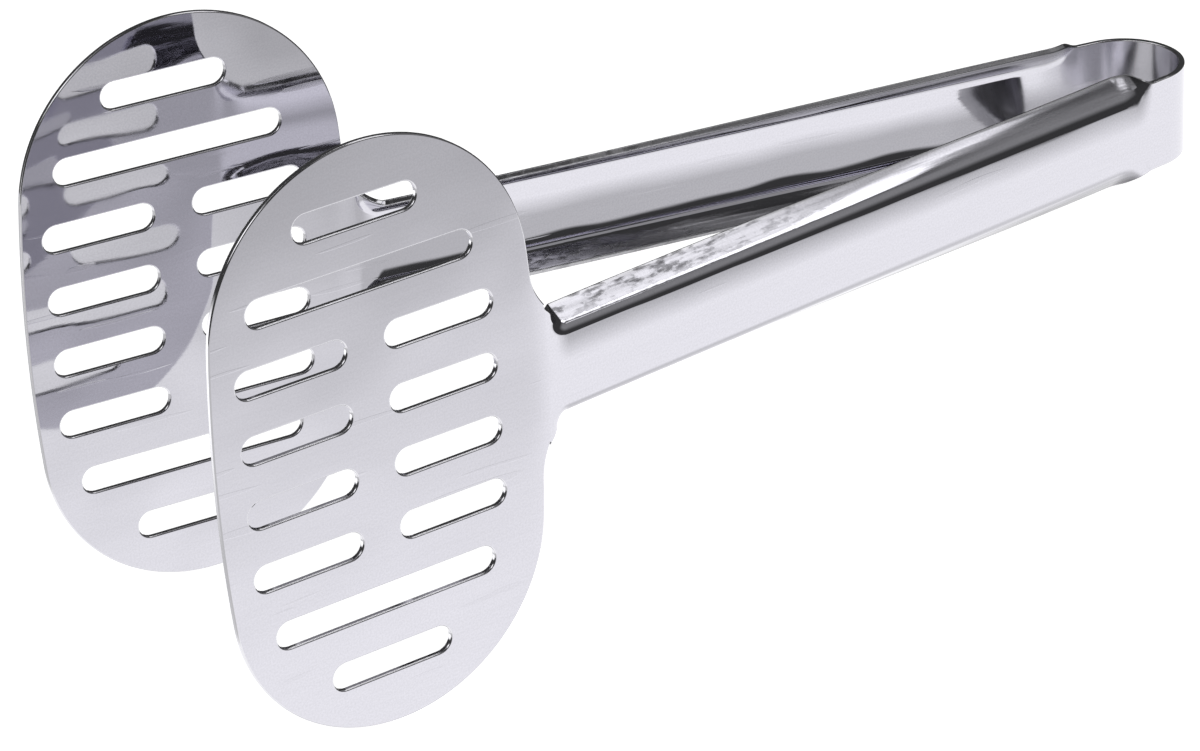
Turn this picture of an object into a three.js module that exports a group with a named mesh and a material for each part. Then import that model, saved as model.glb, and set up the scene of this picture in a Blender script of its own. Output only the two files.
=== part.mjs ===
// Slotted serving tongs, pressed and bent from one strip of polished stainless steel.
//
// Units are millimetres. The tongs are laid out in their own plane first: +X runs from the bow to the
// plate tips, +Y is the left arm's side and +Z is up the plates. The origin of that layout is on the
// arms' centre line, halfway between the plates and abreast of the middle of their slot patterns. The
// whole is then tipped until the bow and both plates rest on z = 0, and centred over the origin.
//
// The sheet is divided into five zones: the spring bow, two channel arms and two slotted plates.

import * as THREE from 'three';
import { mergeVertices } from 'three/addons/utils/BufferGeometryUtils.js';

const SHEET = 1.2; // sheet thickness
const GAP = 0.3; // clearance between neighbouring zones
const SIDES = { left: 1, right: -1 };

const plate = {
  length: 113,
  width: 67,
  endRadius: 32.5,
  centre: { left: -1.7, right: -2.4 }, // outline centre, from the middle of the slot pattern
  spacing: 71.2, // between the two sheets at the middle of the slot pattern
  splay: 2.45, // degrees, opening towards the tips
  skew: { left: 1.1, right: -0.2 }, // degrees, as the press left each plate
  drop: 0.7, // of the slot pattern's middle below the arms' centre line
  arcSteps: 24,
};

const slot = { width: 5.4, pitch: 12.5, short: 25, long: 46, paired: 22.4, columns: 30.2, arcSteps: 10 };
const slotRows = ['short', 'long', 'paired', 'paired', 'paired', 'paired', 'long', 'short'];

const neck = {
  reach: 36.8, // from the middle of the slot pattern back to the end of the flat plate
  halfHeight: 13.6, // of the flat sheet there
  flareHeight: 21, // where the neck's edge runs into the side of the plate
  wall: 0.3, // from the plate's end back to the wall that closes the channel
  edgeRun: 4, // length over which the edge drops from the neck to the rim
  crownRun: 5.5, // length over which the web takes up its crown
};

const bow = { centre: -194, radius: 12, halfHeight: 9.4, arcSteps: 40 };

const channel = {
  rim: { neck: 10.5, bow: 11.4 }, // half height at the rims
  fold: { neck: 6.6, bow: 5.9 }, // half height at the fold lines
  foldScale: { neck: 1, bow: 0.38 }, // how far the flanges are turned in
  corner: { neck: 4.5, bow: 13 }, // radii of the fold line's turn out to the edge at each end
  crownRadius: 60,
  shoulder: { radius: 2.5, angle: 55 },
  flangeRadius: 30,
  foldEnd: 147.5, // from the neck to where the fold lines start to turn out
  rimEnd: 151.5, // from the neck to where the rims start to drop to the bow's edge
  fadeRun: 5,
};

const steel = new THREE.MeshStandardMaterial({ color: 0xc9c9cc, roughness: 0.16, metalness: 1 });

const radians = THREE.MathUtils.degToRad;
const mix = THREE.MathUtils.lerp;
const smooth = (value, start, end) => THREE.MathUtils.smoothstep(value, start, end);

// Layout of one arm: the neck is where the flat plate ends, and the web runs from there in a straight
// line that touches the bow's middle circle.
const bowMiddle = bow.radius - SHEET / 2;
const splay = radians(plate.splay);
const neckPoint = new THREE.Vector2(
  -neck.reach * Math.cos(splay),
  plate.spacing / 2 - neck.reach * Math.sin(splay),
);
const neckToBow = Math.hypot(neckPoint.x - bow.centre, neckPoint.y);
const armAngle = Math.atan2(neckPoint.y, neckPoint.x - bow.centre) - Math.asin(bowMiddle / neckToBow);
const webLength = Math.sqrt(neckToBow ** 2 - bowMiddle ** 2);
const bowShank = 2; // straight run of the bow before its arc
const armLength = webLength - bowShank - GAP;
const neckEdgeSlope = (2 * (neck.halfHeight - channel.rim.neck)) / neck.edgeRun;

// The points of a closed path of arcs and lines, without the doubled ones where two of them join.
function cleanPoints(path, arcSteps) {
  const points = path.getPoints(arcSteps / 2);
  const apart = (a, b) => a.distanceTo(b) > 1e-4;
  return points.filter((point, i) => apart(point, points[(i + 1) % points.length]));
}

// ---- Slotted plate ----

function slotPath(x, z, length) {
  const radius = slot.width / 2;
  const half = length / 2 - radius;
  const path = new THREE.Path();
  path.absarc(x + half, z, radius, -Math.PI / 2, Math.PI / 2, false);
  path.absarc(x - half, z, radius, Math.PI / 2, (3 * Math.PI) / 2, false);
  return new THREE.Path(cleanPoints(path, slot.arcSteps));
}

function slotPaths() {
  return slotRows.flatMap((kind, row) => {
    const z = ((slotRows.length - 1) / 2 - row) * slot.pitch;
    const places = kind === 'paired' ? [-slot.columns / 2, slot.columns / 2] : [0];
    return places.map((x) => slotPath(x, z, slot[kind]));
  });
}

// An oval of two gently bowed sides and two round ends, with the neck's stub on its back edge.
function plateShape(word) {
  const halfWidth = plate.width / 2;
  const halfLength = plate.length / 2;
  const r = plate.endRadius;
  const sideRadius = (halfWidth ** 2 + halfLength ** 2 - 2 * halfLength * r) / (2 * (halfWidth - r));
  const bowOffset = sideRadius - halfWidth;
  const endCentre = halfLength - r;
  const sweep = Math.atan2(endCentre, bowOffset);
  const flare = Math.asin(neck.flareHeight / sideRadius);
  const x = plate.centre[word];
  const flareX = x + bowOffset - sideRadius * Math.cos(flare);
  // The stub stays square to the arm, whatever the plate's skew and drop.
  const lean = Math.tan(radians(plate.skew[word]));
  const rise = (flareX + neck.reach) * neckEdgeSlope;
  const [low, high] = [plate.drop - neck.halfHeight, plate.drop + neck.halfHeight];
  const outline = new THREE.Path();
  outline.moveTo(-neck.reach - low * lean, low);
  outline.quadraticCurveTo(flareX, low - rise, flareX, -neck.flareHeight);
  outline.absarc(x + bowOffset, 0, sideRadius, Math.PI + flare, Math.PI + sweep, false);
  outline.absarc(x, -endCentre, r, Math.PI + sweep, 2 * Math.PI - sweep, false);
  outline.absarc(x - bowOffset, 0, sideRadius, -sweep, sweep, false);
  outline.absarc(x, endCentre, r, sweep, Math.PI - sweep, false);
  outline.absarc(x + bowOffset, 0, sideRadius, Math.PI - sweep, Math.PI - flare, false);
  outline.quadraticCurveTo(flareX, high + rise, -neck.reach - high * lean, high);
  const shape = new THREE.Shape(cleanPoints(outline, plate.arcSteps));
  shape.holes = slotPaths();
  return shape;
}

function slottedPlate(word, side) {
  const geometry = new THREE.ExtrudeGeometry(plateShape(word), { depth: SHEET, bevelEnabled: false });
  geometry.rotateX(Math.PI / 2);
  geometry.translate(0, SHEET / 2, 0);
  const mesh = new THREE.Mesh(geometry, steel);
  mesh.name = `${word}_plate`;
  mesh.rotation.order = 'ZYX';
  mesh.rotation.y = radians(plate.skew[word]);
  mesh.rotation.z = side * splay;
  mesh.position.set(0, (side * plate.spacing) / 2, -plate.drop);
  return mesh;
}

// ---- Channel arm ----
// An arm is drawn over its own flat web: x runs from the neck (0) back to the bow (-armLength), z is up
// and y is how far the mid-sheet stands out from the web's plane.

// How far the sheet has turned inwards at distance q past a fold line.
function foldDrop(q) {
  if (q <= 0) return 0;
  const { radius, angle } = channel.shoulder;
  const turn = radians(angle);
  const shoulderRun = radius * Math.sin(turn);
  if (q <= shoulderRun) return radius - Math.sqrt(radius ** 2 - q ** 2);
  const R = channel.flangeRadius;
  const reach = R * Math.sin(turn) + q - shoulderRun;
  return radius * (1 - Math.cos(turn)) + R * Math.cos(turn) - Math.sqrt(R ** 2 - reach ** 2);
}

// Distance past the fold line, which runs along the arm and turns out to the edge in an arc at each end.
function pastFold(x, z) {
  const { fold, corner, foldEnd } = channel;
  const above = Math.abs(z) - mix(fold.neck, fold.bow, -x / foldEnd);
  const within = (radius, along) => {
    if (along > 0 && above < radius) return radius - Math.hypot(along, radius - above);
    return Math.min(above, radius - along);
  };
  return Math.min(within(corner.neck, x + neck.wall + corner.neck), within(corner.bow, -x - foldEnd));
}

function edgeHeight(x) {
  const rim = mix(channel.rim.neck, channel.rim.bow, -x / channel.rimEnd);
  const fromNeck = mix(rim, neck.halfHeight, Math.max(0, 1 + x / neck.edgeRun) ** 2);
  return mix(fromNeck, bow.halfHeight, smooth(-x, channel.rimEnd, channel.rimEnd + channel.fadeRun));
}

function armPoint(x, v) {
  const z = v * edgeHeight(x);
  const fade = 1 - smooth(-x, channel.rimEnd, channel.rimEnd + channel.fadeRun);
  const crown = (fade * smooth(-x, 0, neck.crownRun) * z ** 2) / (2 * channel.crownRadius);
  const turn = mix(channel.foldScale.neck, channel.foldScale.bow, smooth(-x, 0, channel.foldEnd));
  return new THREE.Vector3(x, -crown - turn * foldDrop(pastFold(x, z)), z);
}

// Stations along the arm: close together where the shape changes, far apart on the straight run.
function armStations() {
  const stations = [];
  const fill = (start, end, count) => {
    for (let i = 0; i < count; i += 1) stations.push(mix(start, end, i / count));
  };
  fill(-armLength, -channel.foldEnd, 11);
  fill(-channel.foldEnd, -8, 6);
  fill(-8, -GAP, 12);
  stations.push(-GAP);
  return stations;
}

// A closed shell of the sheet's thickness around a surface sampled on a grid.
function sheetShell(surface, us, vs) {
  const step = 1e-3;
  const rows = us.map((u) => vs.map((v) => {
    const point = surface(u, v);
    const alongU = surface(u + step, v).sub(surface(u - step, v));
    const alongV = surface(u, v + step).sub(surface(u, v - step));
    const normal = alongV.cross(alongU).normalize().multiplyScalar(SHEET / 2);
    return [point.clone().add(normal), point.clone().sub(normal)];
  }));
  const triangles = [];
  const quad = (a, b, c, d) => triangles.push(a, b, c, a, c, d);
  const lastU = us.length - 1;
  const lastV = vs.length - 1;
  for (let i = 0; i < lastU; i += 1) {
    for (let j = 0; j < lastV; j += 1) {
      const [a, b, c, d] = [rows[i][j], rows[i][j + 1], rows[i + 1][j + 1], rows[i + 1][j]];
      quad(a[0], b[0], c[0], d[0]);
      quad(d[1], c[1], b[1], a[1]);
    }
    quad(rows[i][0][1], rows[i][0][0], rows[i + 1][0][0], rows[i + 1][0][1]);
    quad(rows[i][lastV][0], rows[i][lastV][1], rows[i + 1][lastV][1], rows[i + 1][lastV][0]);
  }
  for (let j = 0; j < lastV; j += 1) {
    quad(rows[0][j][0], rows[0][j][1], rows[0][j + 1][1], rows[0][j + 1][0]);
    quad(rows[lastU][j][1], rows[lastU][j][0], rows[lastU][j + 1][0], rows[lastU][j + 1][1]);
  }
  const geometry = new THREE.BufferGeometry().setFromPoints(triangles);
  return mergeVertices(geometry, 1e-5);
}

function channelArm(word, side) {
  const count = 28;
  const across = Array.from({ length: count + 1 }, (_, i) => mix(-1, 1, i / count));
  const surface = (x, v) => armPoint(x, v).multiply(new THREE.Vector3(1, side, 1));
  const mesh = new THREE.Mesh(sheetShell(surface, armStations(), across), steel);
  mesh.name = `${word}_arm`;
  mesh.rotation.z = side * armAngle;
  mesh.position.set(neckPoint.x, side * neckPoint.y, 0);
  return mesh;
}

// ---- Spring bow ----
// A flat strip bent round an arc, with a short straight shank running into each arm.

function springBow() {
  const start = Math.PI / 2 + armAngle;
  const end = (3 * Math.PI) / 2 - armAngle;
  const inner = bow.radius - SHEET;
  const shank = (radius, angle, side) => new THREE.Vector2(
    bow.centre + radius * Math.cos(angle) + bowShank * Math.cos(armAngle),
    radius * Math.sin(angle) + side * bowShank * Math.sin(armAngle),
  );
  const outline = new THREE.Path();
  outline.moveTo(...shank(bow.radius, start, 1));
  outline.lineTo(bow.centre + bow.radius * Math.cos(start), bow.radius * Math.sin(start));
  outline.absarc(bow.centre, 0, bow.radius, start, end, false);
  outline.lineTo(...shank(bow.radius, end, -1));
  outline.lineTo(...shank(inner, end, -1));
  outline.absarc(bow.centre, 0, inner, end, start, true);
  outline.lineTo(...shank(inner, start, 1));
  outline.closePath();
  const shape = new THREE.Shape(cleanPoints(outline, bow.arcSteps));
  const geometry = new THREE.ExtrudeGeometry(shape, { depth: 2 * bow.halfHeight, bevelEnabled: false });
  geometry.translate(0, 0, -bow.halfHeight);
  const mesh = new THREE.Mesh(geometry, steel);
  mesh.name = 'spring_bow';
  return mesh;
}

// ---- Assembly ----

const layout = new THREE.Group();
layout.add(springBow());
for (const [word, side] of Object.entries(SIDES)) {
  layout.add(channelArm(word, side));
  layout.add(slottedPlate(word, side));
}

// The tip angle at which the round lower end of a plate and the bow's lower edge touch one floor.
function restAngle() {
  const across = plate.centre.left - (bow.centre - bow.radius);
  const down = plate.length / 2 - plate.endRadius + plate.drop - bow.halfHeight;
  return Math.asin(plate.endRadius / Math.hypot(across, down)) + Math.atan2(down, across);
}

layout.rotation.y = -restAngle();
layout.updateMatrixWorld(true);
const box = new THREE.Box3().setFromObject(layout, true);
layout.position.set(-(box.min.x + box.max.x) / 2, -(box.min.y + box.max.y) / 2, -box.min.z);

const tongs = new THREE.Group();
tongs.name = 'serving_tongs';
tongs.add(layout);

export default tongs;
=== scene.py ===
import math

import bpy
import numpy as np
from mathutils import Matrix, Vector
from mathutils.geometry import delaunay_2d_cdt


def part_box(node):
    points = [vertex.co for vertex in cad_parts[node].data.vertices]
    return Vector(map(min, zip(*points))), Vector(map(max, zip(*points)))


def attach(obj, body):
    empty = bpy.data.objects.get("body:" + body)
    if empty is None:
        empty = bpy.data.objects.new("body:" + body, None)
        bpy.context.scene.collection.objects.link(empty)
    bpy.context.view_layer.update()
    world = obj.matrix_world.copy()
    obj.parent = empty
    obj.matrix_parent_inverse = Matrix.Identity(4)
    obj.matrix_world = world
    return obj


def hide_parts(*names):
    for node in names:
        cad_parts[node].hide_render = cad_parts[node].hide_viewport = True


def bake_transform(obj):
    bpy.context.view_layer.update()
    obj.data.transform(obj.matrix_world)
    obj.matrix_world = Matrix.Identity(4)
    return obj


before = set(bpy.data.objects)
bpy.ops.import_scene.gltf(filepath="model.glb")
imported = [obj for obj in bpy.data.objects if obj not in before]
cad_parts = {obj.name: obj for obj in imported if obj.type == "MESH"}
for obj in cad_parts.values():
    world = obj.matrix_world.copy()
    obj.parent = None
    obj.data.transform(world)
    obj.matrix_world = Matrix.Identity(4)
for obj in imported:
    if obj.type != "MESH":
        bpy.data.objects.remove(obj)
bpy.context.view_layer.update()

# Slotted serving tongs pressed from one strip of polished steel. Lengths are in millimetres until a
# piece is placed. Each half of the strip is drawn on a sheet of its own: s runs along the strip, 0 at
# the neck, positive towards the plate's tip and negative back to the crown of the bow, and z runs
# across it. The layout is the CAD source's: +X to the tips, +Y to the left arm, +Z up the plates.

MM = 0.001
SHEET = 1.2
EDGE = 0.28  # radius that polishing leaves on the sheet's edges
STEP = 1e-3  # for slopes found by difference
SIDES = {"left": 1, "right": -1}

PLATE_LENGTH = 113
PLATE_WIDTH = 67
PLATE_END_RADIUS = 32.5
PLATE_CENTRE = {"left": -1.7, "right": -2.4}
PLATE_SPACING = 71.2
PLATE_SPLAY = math.radians(2.45)
PLATE_SKEW = {"left": math.radians(1.1), "right": math.radians(-0.2)}
PLATE_DROP = 0.7

SLOT_WIDTH = 5.4
SLOT_PITCH = 12.5
SLOT_LENGTHS = {"short": 25, "long": 46, "paired": 22.4}
SLOT_COLUMNS = 30.2
SLOT_ROWS = ("short", "long", "paired", "paired", "paired", "paired", "long", "short")

NECK_REACH = 36.8
NECK_HALF_HEIGHT = 13.6
NECK_FLARE = 21
NECK_WALL = 0.3
NECK_EDGE_RUN = 4
NECK_CROWN_RUN = 5.5
NECK_BEND = 6  # half the length over which the plate turns into the arm

BOW_CENTRE = -194
BOW_RADIUS = 12
BOW_HALF_HEIGHT = 9.4
BOW_SHANK = 2

RIM_NECK = 10.5
RIM_BOW = 11.4
FOLD_NECK = 6.6
FOLD_BOW = 5.9
FOLD_SCALE_BOW = 0.38
CORNER_NECK = 4.5
CORNER_BOW = 13
CROWN_RADIUS = 60
SHOULDER_RADIUS = 2.5
SHOULDER_TURN = math.radians(55)
FLANGE_RADIUS = 30
FOLD_END = 147.5
RIM_END = 151.5
FADE_RUN = 5
NECK_EDGE_SLOPE = 2 * (NECK_HALF_HEIGHT - RIM_NECK) / NECK_EDGE_RUN

# The strip's centre line in the layout, as in the CAD source.
BOW_MIDDLE = BOW_RADIUS - SHEET / 2
NECK_X = -NECK_REACH * math.cos(PLATE_SPLAY)
NECK_Y = PLATE_SPACING / 2 - NECK_REACH * math.sin(PLATE_SPLAY)
NECK_TO_BOW = math.hypot(NECK_X - BOW_CENTRE, NECK_Y)
ARM_ANGLE = math.atan2(NECK_Y, NECK_X - BOW_CENTRE) - math.asin(BOW_MIDDLE / NECK_TO_BOW)
WEB_LENGTH = math.sqrt(NECK_TO_BOW**2 - BOW_MIDDLE**2)
ARM_START = -(WEB_LENGTH - BOW_SHANK)
CROWN = -WEB_LENGTH - BOW_MIDDLE * (math.pi / 2 - ARM_ANGLE)


def mix(a, b, t):
    return a + (b - a) * t


def smooth(value, start, end):
    t = np.clip((np.asarray(value, float) - start) / (end - start), 0, 1)
    return t * t * (3 - 2 * t)


# ---- The half's surface ----


def centre_line(s):
    """Points of the strip's centre line in the layout's plane, and its outward normals."""
    s = np.asarray(s, float)
    arm = np.array([math.cos(ARM_ANGLE), math.sin(ARM_ANGLE)])
    plate = np.array([math.cos(PLATE_SPLAY), math.sin(PLATE_SPLAY)])
    t = np.clip((s + NECK_BEND) / (2 * NECK_BEND), 0, 1)
    turned = np.where(s > NECK_BEND, s, 2 * NECK_BEND * (t**3 - t**4 / 2))
    straight = np.maximum(s, -WEB_LENGTH)
    points = np.array([NECK_X, NECK_Y]) + straight[..., None] * arm + turned[..., None] * (plate - arm)
    along = arm + smooth(s, -NECK_BEND, NECK_BEND)[..., None] * (plate - arm)
    around = math.pi / 2 + ARM_ANGLE + (-s - WEB_LENGTH) / BOW_MIDDLE
    radial = np.stack([np.cos(around), np.sin(around)], -1)
    in_bow = (s < -WEB_LENGTH)[..., None]
    points = np.where(in_bow, np.array([BOW_CENTRE, 0]) + BOW_MIDDLE * radial, points)
    outward = np.stack([-along[..., 1], along[..., 0]], -1)
    outward = outward / np.linalg.norm(outward, axis=-1, keepdims=True)
    return points, np.where(in_bow, radial, outward)


def fold_drop(q):
    """How far the sheet has turned inwards at distance q past a fold line."""
    shoulder_run = SHOULDER_RADIUS * math.sin(SHOULDER_TURN)
    in_shoulder = np.clip(q, 0, shoulder_run)
    shoulder = SHOULDER_RADIUS - np.sqrt(SHOULDER_RADIUS**2 - in_shoulder**2)
    reach = FLANGE_RADIUS * math.sin(SHOULDER_TURN) + np.maximum(q - shoulder_run, 0)
    rise = FLANGE_RADIUS * math.cos(SHOULDER_TURN)
    return shoulder + rise - np.sqrt(FLANGE_RADIUS**2 - reach**2)


def within_corner(above, along, radius):
    """Distance past a fold line that turns out to the edge in an arc where along is 0."""
    corner = radius - np.hypot(along, radius - above)
    return np.where((along > 0) & (above < radius), corner, np.minimum(above, radius - along))


def past_fold(s, z):
    above = np.abs(z) - mix(FOLD_NECK, FOLD_BOW, -s / FOLD_END)
    at_neck = within_corner(above, s + NECK_WALL + CORNER_NECK, CORNER_NECK)
    return np.minimum(at_neck, within_corner(above, -s - FOLD_END, CORNER_BOW))


def edge_height(s):
    rim = mix(RIM_NECK, RIM_BOW, -s / RIM_END)
    from_neck = mix(rim, NECK_HALF_HEIGHT, np.maximum(0, 1 + s / NECK_EDGE_RUN) ** 2)
    return mix(from_neck, BOW_HALF_HEIGHT, smooth(-s, RIM_END, RIM_END + FADE_RUN))


def channel_depth(s, z):
    fade = 1 - smooth(-s, RIM_END, RIM_END + FADE_RUN)
    crown = fade * smooth(-s, 0, NECK_CROWN_RUN) * z**2 / (2 * CROWN_RADIUS)
    turn = mix(1, FOLD_SCALE_BOW, smooth(-s, 0, FOLD_END))
    return crown + turn * fold_drop(past_fold(s, z))


def half_point(s, z, side):
    """Mid-sheet points of one half in the layout."""
    s, z = np.broadcast_arrays(np.asarray(s, float), np.asarray(z, float))
    points, outward = centre_line(s)
    points = points - channel_depth(s, z)[..., None] * outward
    return np.stack([points[..., 0], side * points[..., 1], z], -1)


def unit(vectors):
    return vectors / np.linalg.norm(vectors, axis=-1, keepdims=True)


def half_frame(s, z, side):
    """Mid-sheet points, unit outward normals and the two tangents."""
    along = (half_point(s + STEP, z, side) - half_point(s - STEP, z, side)) / (2 * STEP)
    across = (half_point(s, z + STEP, side) - half_point(s, z - STEP, side)) / (2 * STEP)
    return half_point(s, z, side), side * unit(np.cross(across, along)), along, across


# ---- From the layout to the row frame ----


def tip_angle():
    """How far the layout is tipped for the left plate and the bow to stand on one floor."""
    across = PLATE_CENTRE["left"] - (BOW_CENTRE - BOW_RADIUS)
    down = PLATE_LENGTH / 2 - PLATE_END_RADIUS + PLATE_DROP - BOW_HALF_HEIGHT
    return math.asin(PLATE_END_RADIUS / math.hypot(across, down)) + math.atan2(down, across)


def layout_to_row():
    """The layout's turn and its place, found from the CAD bow's box."""
    turn = Matrix.Rotation(-tip_angle(), 3, "Y")
    low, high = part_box("spring_bow")
    rear_top = turn @ Vector((BOW_CENTRE - BOW_RADIUS, 0, BOW_HALF_HEIGHT))
    rear_bottom = turn @ Vector((BOW_CENTRE - BOW_RADIUS, 0, -BOW_HALF_HEIGHT))
    place = Vector((low.x - rear_top.x * MM, (low.y + high.y) / 2, low.z - rear_bottom.z * MM))
    return np.array(turn), np.array(place)


TURN, PLACE = layout_to_row()


def to_row(points):
    return points @ TURN.T * MM + PLACE


# ---- Meshes ----


def sheet_place(s, z, face):
    """Where a point is on the flat sheet, in metres: along it, across it, and on which face of it."""
    s, z, face = np.broadcast_arrays(s, z, face)
    return np.stack([s, z, 5.0 * face], -1) * MM


def build_mesh(name, points, normals, faces, sheet, worn, pressed):
    """An object in the row frame from layout points, with a shading normal for every point.

    The material reads three things at every point: its place on the sheet, how worn it is (the edges)
    and how much the press has worked it (the flanges).
    """
    mesh = bpy.data.meshes.new(name)
    mesh.from_pydata(to_row(points).tolist(), [], faces)
    mesh.shade_smooth()
    mesh.normals_split_custom_set_from_vertices((unit(normals) @ TURN.T).tolist())
    mesh.attributes.new("sheet", "FLOAT_VECTOR", "POINT").data.foreach_set("vector", sheet.ravel())
    mesh.attributes.new("worn", "FLOAT", "POINT").data.foreach_set("value", worn)
    mesh.attributes.new("pressed", "FLOAT", "POINT").data.foreach_set("value", pressed)
    mesh.update()
    piece = bpy.data.objects.new(name, mesh)
    bpy.context.scene.collection.objects.link(piece)
    return piece


EDGE_STEPS = 4
EDGE_ANGLES = [math.pi / 2 * i / EDGE_STEPS for i in range(EDGE_STEPS + 1)]
EDGE_ANGLES += [math.pi - a for a in reversed(EDGE_ANGLES)]


def rounded_edge(points, normals, outward):
    """The sheet's edge, from its outer face round to its inner face, for each of a row of edge points."""
    flat = SHEET / 2 - EDGE
    places, directions = [], []
    for k, angle in enumerate(EDGE_ANGLES):
        turned = normals * math.cos(angle) + outward * math.sin(angle)
        lift = flat if k <= EDGE_STEPS else -flat
        places.append(points - outward * EDGE + normals * lift + turned * EDGE)
        directions.append(turned)
    return np.stack(places, -2), np.stack(directions, -2)


COLUMNS = np.linspace(-1, 1, 91)
COLUMN_INSET = 0.5  # how far the last column stays from the edge
FLANGE_WORKED = (1.0, 3.0)  # distances past the fold over which the press's marks come in


def section_columns(s):
    return COLUMNS * (edge_height(s) - COLUMN_INSET)


def section_ring(s, side):
    """Points and normals round one cross-section of the strip: outer face, top edge, inner face, bottom."""
    z = section_columns(s)
    points, normals, _, _ = half_frame(np.full_like(z, s), z, side)
    ring = [points + normals * SHEET / 2]
    turned = [normals]
    edges = {}
    height = float(edge_height(s))
    slope = float(edge_height(s + STEP) - edge_height(s - STEP)) / (2 * STEP)
    for end in (1, -1):
        point, normal, along, across = half_frame(s, end * height, side)
        tangent = unit(along + end * slope * across)
        outward = unit(np.cross(normal, tangent))
        outward = outward * np.sign(np.dot(outward, across) * end)
        edges[end] = rounded_edge(point, normal, outward)
    ring += [edges[1][0], points[::-1] - normals[::-1] * SHEET / 2, edges[-1][0][::-1]]
    turned += [edges[1][1], -normals[::-1], edges[-1][1][::-1]]
    return np.concatenate(ring), np.concatenate(turned)


EDGE_FACES = np.cos(EDGE_ANGLES)  # 1 on the outer face, -1 on the inner


def section_traits(s):
    """Place on the sheet, wear and pressing at the points of section_ring."""
    z = section_columns(s)
    height = float(edge_height(s))
    top = sheet_place(s, height, EDGE_FACES)
    bottom = sheet_place(s, -height, EDGE_FACES[::-1])
    sheet = np.concatenate([sheet_place(s, z, 1), top, sheet_place(s, z[::-1], -1), bottom])
    face, edge = np.zeros(len(z)), np.ones(len(EDGE_FACES))
    worn = np.concatenate([face, edge, face, edge])
    flange = smooth(past_fold(s, z), *FLANGE_WORKED)
    pressed = np.concatenate([flange, edge * flange[-1], flange[::-1], edge * flange[0]])
    return sheet, worn, pressed


def end_cap(first, count, edge_count, flip):
    """Faces closing a section ring that starts at vertex first."""
    inner = first + count + edge_count
    faces = []
    for j in range(count - 1):
        faces.append((first + j, first + j + 1, inner + count - 2 - j, inner + count - 1 - j))
    top = [first + count - 1 + k for k in range(edge_count + 2)]
    bottom = [inner + count - 1 + k for k in range(edge_count + 1)] + [first]
    faces += [tuple(top), tuple(bottom)]
    return [tuple(reversed(f)) for f in faces] if flip else faces


def strip_piece(name, stations, side):
    """A closed length of the strip lofted through its sections."""
    rings = [section_ring(s, side) for s in stations]
    points = np.concatenate([ring[0] for ring in rings])
    normals = np.concatenate([ring[1] for ring in rings])
    size = len(rings[0][0])
    faces = []
    for i in range(len(stations) - 1):
        for j in range(size):
            k = (j + 1) % size
            quad = (i * size + j, i * size + k, (i + 1) * size + k, (i + 1) * size + j)
            faces.append(quad if side > 0 else quad[::-1])
    count, edge_count = len(COLUMNS), len(EDGE_ANGLES)
    faces += end_cap(0, count, edge_count, side > 0)
    faces += end_cap((len(stations) - 1) * size, count, edge_count, side < 0)
    traits = [np.concatenate(trait) for trait in zip(*(section_traits(s) for s in stations))]
    return build_mesh(name, points, normals, faces, *traits)


def stations_between(*runs):
    """Places along the strip from (start, end, step) runs that follow each other."""
    places = []
    for start, end, step in runs:
        count = max(1, round((end - start) / step))
        places += [mix(start, end, i / count) for i in range(count)]
    return places + [runs[-1][1]]


ARM_STATIONS = stations_between((ARM_START, -145, 0.3), (-145, -13, 1), (-13, 0, 0.2))
BOW_STATIONS = stations_between((CROWN, ARM_START, 0.5))


# ---- Slotted plate ----

FILLET_POINTS = 20
LONG_ARC_STEP = 1.5
END_ARC_STEP = 0.8
SLOT_END_POINTS = 14
SLOT_SIDE_POINTS = 8
GRID = 1.6
GRID_BOX = ((0.8, 81.5), (-60, 60))  # in s and z, wide enough for the whole plate
SLOT_CLEARANCE = 0.7 * GRID
EDGE_CLEARANCE = 0.6 * GRID + EDGE

def arc(cx, cz, radius, start, end, step):
    count = max(2, round(abs(end - start) * radius / step))
    angles = [mix(start, end, i / count) for i in range(count + 1)]
    return [(cx + radius * math.cos(a), cz + radius * math.sin(a)) for a in angles]


def quadratic(start, control, end, count):
    points = []
    for i in range(count + 1):
        t = i / count
        points.append(tuple(
            (1 - t) ** 2 * start[k] + 2 * t * (1 - t) * control[k] + t * t * end[k] for k in range(2)
        ))
    return points


def plate_to_sheet(points, word):
    """From the plate's own plane to the sheet's s and z."""
    skew = PLATE_SKEW[word]
    x, z = np.array(points).T
    along = x * math.cos(skew) + z * math.sin(skew)
    up = z * math.cos(skew) - x * math.sin(skew) - PLATE_DROP
    return np.stack([along + NECK_REACH, up], -1)


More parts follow.
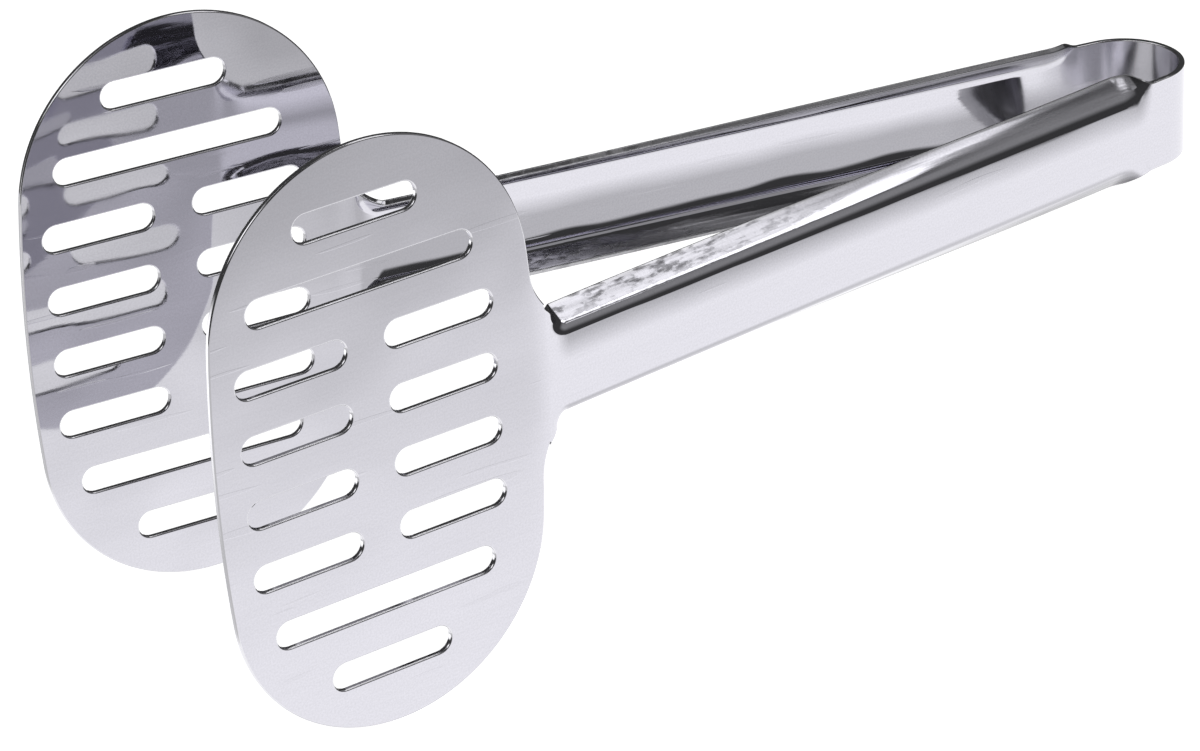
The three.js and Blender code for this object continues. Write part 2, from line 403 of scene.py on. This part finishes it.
def plate_outline(word):
    """The plate's outline on the sheet, anticlockwise from the neck's bottom corner to its top one."""
    half_width, half_length = PLATE_WIDTH / 2, PLATE_LENGTH / 2
    r = PLATE_END_RADIUS
    side_radius = (half_width**2 + half_length**2 - 2 * half_length * r) / (2 * (half_width - r))
    offset = side_radius - half_width
    end_centre = half_length - r
    sweep = math.atan2(end_centre, offset)
    flare = math.asin(NECK_FLARE / side_radius)
    x = PLATE_CENTRE[word]
    flare_x = x + offset - side_radius * math.cos(flare)
    lean = math.tan(PLATE_SKEW[word])
    low, high = PLATE_DROP - NECK_HALF_HEIGHT, PLATE_DROP + NECK_HALF_HEIGHT
    bottom = (-NECK_REACH - low * lean, low)
    top = (-NECK_REACH - high * lean, high)
    rise = (flare_x + NECK_REACH) * NECK_EDGE_SLOPE
    points = quadratic(bottom, (flare_x, low - rise), (flare_x, -NECK_FLARE), FILLET_POINTS)
    points += arc(x + offset, 0, side_radius, math.pi + flare, math.pi + sweep, LONG_ARC_STEP)[1:]
    points += arc(x, -end_centre, r, math.pi + sweep, 2 * math.pi - sweep, END_ARC_STEP)[1:]
    points += arc(x - offset, 0, side_radius, -sweep, sweep, LONG_ARC_STEP)[1:]
    points += arc(x, end_centre, r, sweep, math.pi - sweep, END_ARC_STEP)[1:]
    points += arc(x + offset, 0, side_radius, math.pi - sweep, math.pi - flare, LONG_ARC_STEP)[1:]
    points += quadratic((flare_x, NECK_FLARE), (flare_x, high + rise), top, FILLET_POINTS)[1:]
    return plate_to_sheet(points, word)


def slot_places():
    """Middle and length of every slot, in the plate's own plane."""
    places = []
    for row, kind in enumerate(SLOT_ROWS):
        z = ((len(SLOT_ROWS) - 1) / 2 - row) * SLOT_PITCH
        columns = (-SLOT_COLUMNS / 2, SLOT_COLUMNS / 2) if kind == "paired" else (0,)
        places += [(x, z, SLOT_LENGTHS[kind]) for x in columns]
    return places


def slot_loop(x, z, length):
    """A slot's outline, clockwise."""
    half = length / 2 - SLOT_WIDTH / 2
    radius = SLOT_WIDTH / 2
    step = radius * math.pi / SLOT_END_POINTS
    between = [i / SLOT_SIDE_POINTS for i in range(1, SLOT_SIDE_POINTS)]
    points = arc(x - half, z, radius, 1.5 * math.pi, 0.5 * math.pi, step)
    points += [(mix(x - half, x + half, t), z + radius) for t in between]
    points += arc(x + half, z, radius, 0.5 * math.pi, -0.5 * math.pi, step)
    points += [(mix(x + half, x - half, t), z - radius) for t in between]
    return points


def loop_normals(points, closed):
    """Outward 2D normals of a path that has the sheet on its left."""
    if closed:
        before = np.roll(points, 1, axis=0)
        after = np.roll(points, -1, axis=0)
        tangents = unit(unit(after - points) + unit(points - before))
    else:
        steps = unit(np.diff(points, axis=0))
        inner = unit(steps[1:] + steps[:-1])
        tangents = np.concatenate([steps[:1], inner, steps[-1:]])
        tangents[0] = unit(np.array([1, -NECK_EDGE_SLOPE]))
        tangents[-1] = unit(np.array([-1, -NECK_EDGE_SLOPE]))
    return np.stack([tangents[:, 1], -tangents[:, 0]], -1)


def inside(points, polygon):
    """Which points lie inside a closed polygon."""
    result = np.zeros(len(points), bool)
    x, y = points[:, 0], points[:, 1]
    for (x0, y0), (x1, y1) in zip(polygon, np.roll(polygon, -1, axis=0)):
        crosses = (y0 > y) != (y1 > y)
        if y0 != y1:
            result ^= crosses & (x < (x1 - x0) * (y - y0) / (y1 - y0) + x0)
    return result


def slot_distance(points, places):
    """Distance of points on the plate's plane from the nearest slot's outline, positive on the sheet."""
    nearest = np.full(len(points), 1e9)
    for x, z, length in places:
        half = length / 2 - SLOT_WIDTH / 2
        across = np.maximum(np.abs(points[:, 0] - x) - half, 0)
        nearest = np.minimum(nearest, np.hypot(across, points[:, 1] - z) - SLOT_WIDTH / 2)
    return nearest


def sheet_to_plate(points, word):
    skew = PLATE_SKEW[word]
    along = points[:, 0] - NECK_REACH
    up = points[:, 1] + PLATE_DROP
    x = along * math.cos(skew) - up * math.sin(skew)
    z = up * math.cos(skew) + along * math.sin(skew)
    return np.stack([x, z], -1)


def face_grid(word, outline):
    """Points inside the plate's face, clear of its edges."""
    s, z = np.meshgrid(*(np.arange(start, end, GRID) for start, end in GRID_BOX))
    s[1::2] += GRID / 2
    points = np.stack([s.ravel(), z.ravel()], -1)
    points = points[inside(points, outline)]
    points = points[slot_distance(sheet_to_plate(points, word), slot_places()) > SLOT_CLEARANCE]
    gap = np.min(np.linalg.norm(points[:, None] - outline[None], axis=-1), axis=1)
    return points[gap > EDGE_CLEARANCE]


def plate_loops(word):
    """The plate's outline and its slots, each as points, outward normals and whether it is closed."""
    outline = plate_outline(word)
    loops = [(outline, loop_normals(outline, closed=False), False)]
    for place in slot_places():
        points = plate_to_sheet(slot_loop(*place), word)
        loops.append((points, loop_normals(points, closed=True), True))
    return loops


def triangulate_face(word, loops):
    """Points and triangles of the plate's face, and the numbers of each loop's points and the seam's."""
    columns = section_columns(0.0)[::-1]
    seam = np.stack([np.zeros_like(columns), columns], -1)
    insets = [points - normals * EDGE for points, normals, _ in loops]
    boundary = np.concatenate([insets[0], seam])
    runs = [boundary] + insets[1:]
    starts = [sum(len(run) for run in runs[:k]) for k in range(len(runs))]
    constraints = []
    for first, run in zip(starts, runs):
        constraints += [(first + i, first + (i + 1) % len(run)) for i in range(len(run))]
    flat = np.concatenate(runs + [face_grid(word, loops[0][0])])
    made = delaunay_2d_cdt([Vector(p) for p in flat.tolist()], constraints, [], 0, 1e-6)
    found = np.array([tuple(v) for v in made[0]])
    index = {old: new for new, olds in enumerate(made[3]) for old in olds}
    numbers = [[index[first + i] for i in range(len(run))] for first, run in zip(starts, runs)]
    owner = np.zeros(len(found), int)
    for k in range(1, len(runs)):
        owner[numbers[k]] = k
    triangles = np.array(made[2])
    owners = owner[triangles]
    in_slot = (owners[:, 0] > 0) & (owners == owners[:, :1]).all(axis=1)
    keep = inside(found[triangles].mean(axis=1), boundary) & ~in_slot
    rim_length = len(insets[0])
    return found, triangles[keep].tolist(), [numbers[0][:rim_length]] + numbers[1:], numbers[0][rim_length:]


def edge_rows(loop, numbers, count, first, side):
    """One loop's edge: its new points and normals, and the vertices of its rows from face to face."""
    points, normals, _ = loop
    base, base_normals, along, across = half_frame(points[:, 0], points[:, 1], side)
    outward = unit(along * normals[:, :1] + across * normals[:, 1:])
    edge_points, edge_normals = rounded_edge(base, base_normals, outward)
    middle = len(EDGE_ANGLES) - 2
    rows = []
    for i, number in enumerate(numbers):
        between = [first + i * middle + k for k in range(middle)]
        rows.append([number] + between + [count + number])
    return edge_points[:, 1:-1].reshape(-1, 3), edge_normals[:, 1:-1].reshape(-1, 3), rows


def seam_faces(seam, bottom_row, top_row, count):
    """The cap that closes the sheet's thickness where the plate meets the arm."""
    faces = [(a, b, count + b, count + a) for a, b in zip(seam, seam[1:])]
    faces.append(tuple(top_row + [count + seam[0], seam[0]]))
    faces.append(tuple(bottom_row[::-1] + [seam[-1], count + seam[-1]]))
    return faces


def plate_piece(word, side):
    """The slotted plate: two faces on one triangulation, rounded edges, and the cap at the neck."""
    loops = plate_loops(word)
    found, triangles, numbers, seam = triangulate_face(word, loops)
    count = len(found)
    base, base_normals, _, _ = half_frame(found[:, 0], found[:, 1], side)
    points = [base + base_normals * SHEET / 2, base - base_normals * SHEET / 2]
    normals = [base_normals, -base_normals]
    sheet = [sheet_place(found[:, 0], found[:, 1], face) for face in (1, -1)]
    faces = [tuple(reversed(t)) for t in triangles]
    faces += [tuple(count + v for v in t) for t in triangles]
    total = 2 * count
    for loop, loop_numbers in zip(loops, numbers):
        edge_points, edge_normals, rows = edge_rows(loop, loop_numbers, count, total, side)
        points.append(edge_points)
        normals.append(edge_normals)
        sheet.append(sheet_place(loop[0][:, :1], loop[0][:, 1:], EDGE_FACES[1:-1]).reshape(-1, 3))
        total += len(edge_points)
        following = rows[1:] + rows[:1] if loop[2] else rows[1:]
        for a, b in zip(rows, following):
            faces += [(b[k], b[k + 1], a[k + 1], a[k]) for k in range(len(EDGE_ANGLES) - 1)]
        if not loop[2]:
            faces += [f[::-1] for f in seam_faces(seam, rows[0], rows[-1], count)]
    if side < 0:
        faces = [face[::-1] for face in faces]
    worn = (np.arange(total) >= 2 * count).astype(float)
    arrays = [np.concatenate(parts) for parts in (points, normals)]
    name = f"{word}_slotted_plate"
    return build_mesh(name, *arrays, faces, np.concatenate(sheet), worn, np.zeros(total))


# ---- Material ----


class Nodes:
    """Short calls for building a node tree."""

    def __init__(self, tree):
        self.tree = tree

    def add(self, kind, **settings):
        node = self.tree.nodes.new(kind)
        for name, value in settings.items():
            setattr(node, name, value)
        return node

    def connect(self, value, socket):
        if isinstance(value, (int, float, tuple)):
            socket.default_value = value
        elif isinstance(value, Vector):
            socket.default_value = tuple(value)
        else:
            self.tree.links.new(value, socket)

    def math(self, operation, *values, clamp=False):
        node = self.add("ShaderNodeMath", operation=operation, use_clamp=clamp)
        for value, socket in zip(values, node.inputs):
            self.connect(value, socket)
        return node.outputs[0]

    def dot(self, a, b):
        node = self.add("ShaderNodeVectorMath", operation="DOT_PRODUCT")
        self.connect(a, node.inputs[0])
        self.connect(b, node.inputs[1])
        return node.outputs["Value"]

    def ramp(self, value, start, end, low=0.0, high=1.0, smooth_steps=True):
        kind = "SMOOTHSTEP" if smooth_steps else "LINEAR"
        node = self.add("ShaderNodeMapRange", interpolation_type=kind)
        given = {"Value": value, "From Min": start, "From Max": end, "To Min": low, "To Max": high}
        for name, amount in given.items():
            self.connect(amount, node.inputs[name])
        return node.outputs["Result"]


STEEL_COLOUR = (0.675, 0.667, 0.722, 1)
WORN_COLOUR = (0.74, 0.735, 0.77, 1)
GLOSS = 0.018  # roughness where the polish is best
SMUDGE_ROUGHNESS = 0.03


def speckle(nodes, place, scale, detail=3.0, stretch=1.0):
    """Noise of a given scale per metre, stretched along the strip."""
    mapping = nodes.add("ShaderNodeMapping")
    nodes.connect(place, mapping.inputs["Vector"])
    mapping.inputs["Scale"].default_value = (1 / stretch, 1, 1)
    noise = nodes.add("ShaderNodeTexNoise")
    nodes.connect(mapping.outputs["Vector"], noise.inputs["Vector"])
    noise.inputs["Scale"].default_value = scale
    noise.inputs["Detail"].default_value = detail
    return noise.outputs["Fac"]


def bump(nodes, height, depth, below=None):
    """A bump of a given depth in metres over another one."""
    node = nodes.add("ShaderNodeBump")
    node.inputs["Distance"].default_value = depth
    nodes.connect(height, node.inputs["Height"])
    if below is not None:
        nodes.connect(below, node.inputs["Normal"])
    return node.outputs["Normal"]


def steel_colour(nodes, worn, darkening):
    """The steel's colour: lighter where its edges are worn, and darkened by grain, marks and a painted dark
    reflection along the flanges' rims.
    """
    tint = nodes.add("ShaderNodeMix", data_type="RGBA", blend_type="MIX")
    nodes.connect(worn, tint.inputs[0])
    tint.inputs[6].default_value = STEEL_COLOUR
    tint.inputs[7].default_value = WORN_COLOUR
    grey = nodes.add("ShaderNodeCombineColor")
    for socket in grey.inputs:
        nodes.connect(nodes.math("SUBTRACT", 1.0, darkening), socket)
    shade = nodes.add("ShaderNodeMix", data_type="RGBA", blend_type="MULTIPLY")
    shade.inputs[0].default_value = 1.0
    nodes.connect(tint.outputs[2], shade.inputs[6])
    nodes.connect(grey.outputs[0], shade.inputs[7])
    return shade.outputs[2]


def weighted_sum(nodes, start, *terms):
    """Start plus each (value, weight) term."""
    for value, weight in terms:
        start = nodes.math("ADD", start, nodes.math("MULTIPLY", value, weight))
    return start


def polished_steel():
    """Bright buffed sheet: grain along the strip, smudges, scratches, worked flanges, worn edges and a
    painted dark reflection along the flanges' rims.
    """
    material = bpy.data.materials.new("polished_steel")
    material.use_nodes = True
    nodes = Nodes(material.node_tree)
    shader = material.node_tree.nodes["Principled BSDF"]
    place = nodes.add("ShaderNodeAttribute", attribute_name="sheet").outputs["Vector"]
    worn = nodes.add("ShaderNodeAttribute", attribute_name="worn").outputs["Fac"]
    pressed = nodes.add("ShaderNodeAttribute", attribute_name="pressed").outputs["Fac"]
    axes = nodes.add("ShaderNodeSeparateXYZ")
    nodes.connect(place, axes.inputs[0])
    near_neck = nodes.ramp(axes.outputs["X"], -0.085, -0.03)

    fine = nodes.ramp(speckle(nodes, place, 2600, detail=2.0), 0.3, 0.7)
    grain = nodes.ramp(speckle(nodes, place, 1500, stretch=12), 0.3, 0.7)
    streaks = nodes.ramp(speckle(nodes, place, 1300, detail=4.0, stretch=50), 0.35, 0.7)
    streaks = nodes.math("MULTIPLY", streaks, pressed)
    smudges = nodes.ramp(speckle(nodes, place, 70, detail=5.0), 0.35, 0.7)
    waves = speckle(nodes, place, 38, detail=1.0)
    scratches = nodes.ramp(speckle(nodes, place, 700, detail=0.0, stretch=14), 0.76, 0.79)
    mottle = nodes.ramp(speckle(nodes, place, 1500, detail=5.0, stretch=5.0), 0.46, 0.66)
    mottle = nodes.math("MULTIPLY", nodes.math("MULTIPLY", mottle, pressed), near_neck)
    # rim: each flange's band along its rim, away from the neck, painted darker as a painted dark reflection;
    # the band is also made rougher
    rim = nodes.ramp(nodes.math("ABSOLUTE", axes.outputs["Y"]), 0.0084, 0.0106)
    rim = nodes.math("MULTIPLY", rim, nodes.math("SUBTRACT", pressed, near_neck, clamp=True))
    satin = nodes.ramp(axes.outputs["X"], -0.138, -0.156)
    inner_face = nodes.ramp(axes.outputs["Z"], 0.001, -0.001)
    satin = nodes.math("MULTIPLY", satin, inner_face)
    waves = nodes.math("MULTIPLY", waves, nodes.math("ADD", inner_face, 1.0))

    dark = weighted_sum(nodes, 0.0, (fine, 0.06), (grain, 0.015), (streaks, 0.2), (mottle, 0.45))
    dark = weighted_sum(nodes, dark, (rim, 0.45), (nodes.math("MULTIPLY", satin, smudges), 0.15))
    nodes.connect(steel_colour(nodes, worn, dark), shader.inputs["Base Color"])
    gloss = nodes.math("ADD", nodes.math("MULTIPLY", smudges, SMUDGE_ROUGHNESS), GLOSS)
    gloss = weighted_sum(nodes, gloss, (scratches, 0.06), (worn, 0.03), (streaks, 0.16), (mottle, 0.2))
    gloss = weighted_sum(nodes, gloss, (rim, 0.1), (satin, 0.17))
    nodes.connect(gloss, shader.inputs["Roughness"])
    normal = bump(nodes, waves, 0.00016)
    normal = bump(nodes, grain, 0.0000002, normal)
    normal = bump(nodes, scratches, 0.000002, normal)
    normal = bump(nodes, streaks, 0.000004, normal)
    normal = bump(nodes, mottle, 0.00002, normal)
    nodes.connect(normal, shader.inputs["Normal"])
    shader.inputs["Metallic"].default_value = 1
    return material


# ---- Assembly ----


def place_piece(piece, material, nodes):
    piece.data.materials.append(material)
    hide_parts(*nodes)
    return piece


def build_tongs():
    steel = polished_steel()
    for word, side in SIDES.items():
        plate = place_piece(plate_piece(word, side), steel, [f"{word}_plate"])
        arm = place_piece(strip_piece(f"{word}_channel_arm", ARM_STATIONS, side), steel, [f"{word}_arm"])
        for piece in (plate, arm):
            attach(piece, f"{word}_half")
        bow = place_piece(strip_piece(f"{word}_half_of_bow", BOW_STATIONS, side), steel, ["spring_bow"])
        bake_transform(bow)


# ---- Stage, light and camera ----

FLOOR_SIZE = 6.0

CAMERA_PLACE = Vector((0.33088, 0.66606, 0.48763))
CAMERA_LOOK = Vector((-0.35222, -0.7733, -0.52722))
CAMERA_UP = Vector((-0.46516, -0.34418, 0.81558))
CAMERA_LENS = 138.4
CAMERA_SHIFT = (0.0368, -0.0405)


def make_camera():
    camera = bpy.data.objects.new("camera", bpy.data.cameras.new("camera"))
    bpy.context.scene.collection.objects.link(camera)
    right = CAMERA_LOOK.cross(CAMERA_UP).normalized()
    up = right.cross(CAMERA_LOOK).normalized()
    back = -CAMERA_LOOK.normalized()
    camera.matrix_world = Matrix.Translation(CAMERA_PLACE) @ Matrix((right, up, back)).transposed().to_4x4()
    camera.data.sensor_width = 36
    camera.data.lens = CAMERA_LENS
    camera.data.shift_x, camera.data.shift_y = CAMERA_SHIFT
    camera.data.clip_start = 0.01
    camera.data.clip_end = 50
    bpy.context.scene.camera = camera


def make_floor():
    half = FLOOR_SIZE / 2
    mesh = bpy.data.meshes.new("floor")
    corners = [(-half, -half, 0), (half, -half, 0), (half, half, 0), (-half, half, 0)]
    mesh.from_pydata(corners, [], [(0, 1, 2, 3)])
    floor = bpy.data.objects.new("floor", mesh)
    bpy.context.scene.collection.objects.link(floor)
    material = bpy.data.materials.new("pale_floor")
    material.use_nodes = True
    shader = material.node_tree.nodes["Principled BSDF"]
    shader.inputs["Base Color"].default_value = (0.8, 0.8, 0.8, 1)
    shader.inputs["Roughness"].default_value = 0.8
    shader.inputs["Emission Color"].default_value = (1, 1, 1, 1)
    shader.inputs["Emission Strength"].default_value = 0.85
    floor.visible_glossy = False  # the steel reflects the studio's sweep instead
    floor.data.materials.append(material)


# The studio is a dark room over a bright sweep, with a few soft boxes and one grey card. Azimuth is from
# +X towards +Y and elevation above the floor, in degrees; a box is its place, its half width and height,
# how soft its edges are and its strength.
HORIZON_TILT = Vector((-0.232, 0, 0.973))
HORIZON = -0.265
HORIZON_SOFTNESS = 0.012
SWEEP_FALL = 5.0  # how fast the sweep's light grows as a ray points further down
SWEEP_START = -1.51
SWEEP_LEAST = 0.68
SWEEP_MOST = 1.2
GREY_CARDS = (
    ((116, -26), (7.5, 7.5), 0.47, 0.38),
    ((-150, -84), (24, 24), 0.5, 0.4),
)
ROOM_LIGHT = 0.05
SOFT_CARD = ((147, 13), (16, 15), 0.7, 0.24)
SOFT_BOXES = (
    ((163, 32.7), (7, 3.6), 0.3, 2.2),
    ((168, 39), (5, 5), 0.25, 0.7),
    ((186, 45.5), (17, 9), 0.2, 1.35),
    ((143, 33), (6, 8), 0.3, 1.8),
    ((122, 30), (9, 12), 0.12, 0.35),
    ((-46, -10), (11, 14), 0.6, 1.7),
    ((-88, -14), (20, 12), 0.6, 1.0),
    ((20, 55), (30, 12), 0.12, 1.6),
    ((-60, 62), (26, 9), 0.12, 1.2),
)


def direction(azimuth, elevation):
    a, e = math.radians(azimuth), math.radians(elevation)
    return Vector((math.cos(a) * math.cos(e), math.sin(a) * math.cos(e), math.sin(e)))


def soft_box(nodes, towards, place, half_size, softness, strength):
    """The light of one soft-edged box, on the side of the sky that faces it."""
    centre = direction(*place)
    right = Vector((0, 0, 1)).cross(centre).normalized()
    up = centre.cross(right)
    ahead = nodes.dot(towards, centre)
    light = nodes.math("GREATER_THAN", ahead, 0.05)
    for axis, half in zip((right, up), half_size):
        edge = math.tan(math.radians(half))
        slant = nodes.math("ABSOLUTE", nodes.math("DIVIDE", nodes.dot(towards, axis), ahead))
        light = nodes.math("MULTIPLY", light, nodes.ramp(slant, edge * (1 + softness), edge * (1 - softness)))
    return nodes.math("MULTIPLY", light, strength)


def sweep_light(nodes, towards):
    down = nodes.math("MULTIPLY", nodes.dot(towards, Vector((0, 0, -1))), SWEEP_FALL)
    light = nodes.math("ADD", down, SWEEP_START)
    light = nodes.math("MINIMUM", nodes.math("MAXIMUM", light, SWEEP_LEAST), SWEEP_MOST)
    for card in GREY_CARDS:
        light = nodes.math("SUBTRACT", light, soft_box(nodes, towards, *card))
    return light


def make_world():
    world = bpy.data.worlds.new("studio")
    bpy.context.scene.world = world
    world.use_nodes = True
    nodes = Nodes(world.node_tree)
    towards = nodes.add("ShaderNodeTexCoord").outputs["Generated"]
    height = nodes.dot(towards, HORIZON_TILT)
    room = nodes.math("ADD", soft_box(nodes, towards, *SOFT_CARD), ROOM_LIGHT)
    below = nodes.ramp(height, HORIZON + HORIZON_SOFTNESS, HORIZON - HORIZON_SOFTNESS)
    lit = nodes.math("MULTIPLY", sweep_light(nodes, towards), below)
    light = nodes.math("ADD", lit, nodes.math("MULTIPLY", room, nodes.math("SUBTRACT", 1.0, below)))
    for box in SOFT_BOXES:
        light = nodes.math("MAXIMUM", light, soft_box(nodes, towards, *box))
    seen = nodes.add("ShaderNodeLightPath").outputs["Is Camera Ray"]
    mixed = nodes.add("ShaderNodeMix", data_type="FLOAT")
    nodes.connect(seen, mixed.inputs[0])
    nodes.connect(light, mixed.inputs[2])
    mixed.inputs[3].default_value = 1.0
    nodes.connect(mixed.outputs[0], world.node_tree.nodes["Background"].inputs["Strength"])
    world.node_tree.nodes["Background"].inputs["Color"].default_value = (1, 1, 1, 1)


build_tongs()
make_camera()
make_floor()
make_world()
bpy.context.scene.view_settings.view_transform = "Standard"
